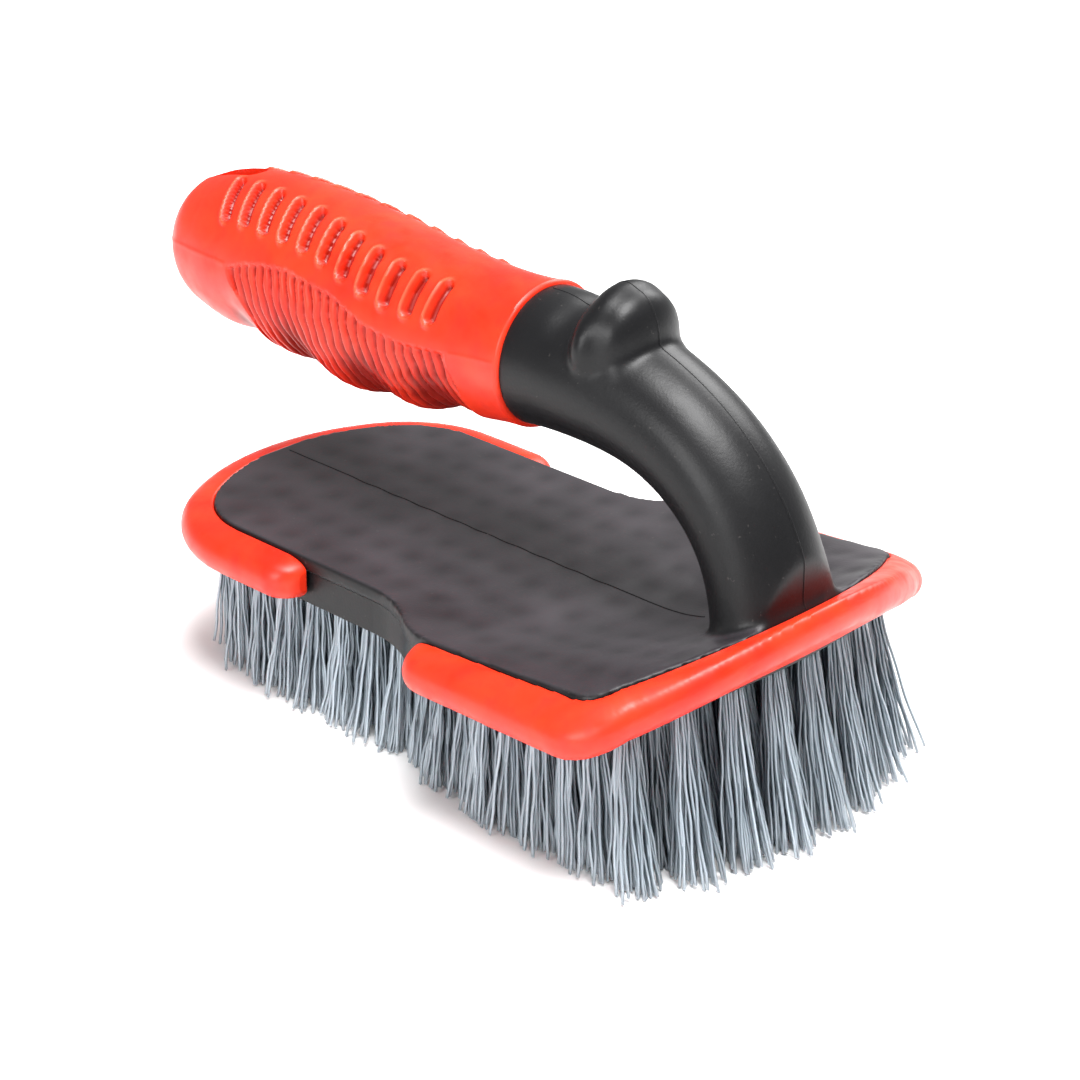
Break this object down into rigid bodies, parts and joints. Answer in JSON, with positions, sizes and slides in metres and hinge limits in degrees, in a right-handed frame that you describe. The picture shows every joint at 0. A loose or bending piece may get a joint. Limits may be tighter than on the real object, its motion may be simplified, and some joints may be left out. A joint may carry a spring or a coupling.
{
  "type": "wheel brush",
  "caption": "Hand brush for wheels and tyres: a waisted block of stapled bristle tufts, a swept grip on one stem, a thumb rest and rubber bumpers.",
  "frame": {"origin": "centre of the box around the part, on the plane of the bristle ends, so the brush stands on its bristles at z = 0", "axes": "+X from the butt of the grip to the bowed nose, along the brush; +Y to the side; +Z from the bristles up to the grip"},
  "size_m": [0.2044, 0.114, 0.1135],
  "materials": {
    "black_plastic": "fine-textured satin moulding",
    "orange_rubber": "soft satin overmoulded rubber",
    "bristle": "crimped polypropylene filament",
    "anchor_wire": "plain drawn wire"
  },
  "bodies": {
    "root": {"handle_body": "black_plastic", "tuft_block": "black_plastic", "grip_sleeve": "orange_rubber", "front_bumper": "orange_rubber", "rear_bumper": "orange_rubber", "tuft_anchors": "anchor_wire", "tuft_row_01": "bristle", "tuft_row_02": "bristle", "tuft_row_03": "bristle", "tuft_row_04": "bristle", "tuft_row_05": "bristle", "tuft_row_06": "bristle", "tuft_row_07": "bristle", "tuft_row_08": "bristle", "tuft_row_09": "bristle", "tuft_row_10": "bristle", "tuft_row_11": "bristle", "tuft_row_12": "bristle", "tuft_row_13": "bristle", "tuft_row_14": "bristle", "tuft_row_15": "bristle", "tuft_row_16": "bristle", "tuft_row_17": "bristle"}
  },
  "joints": []
}
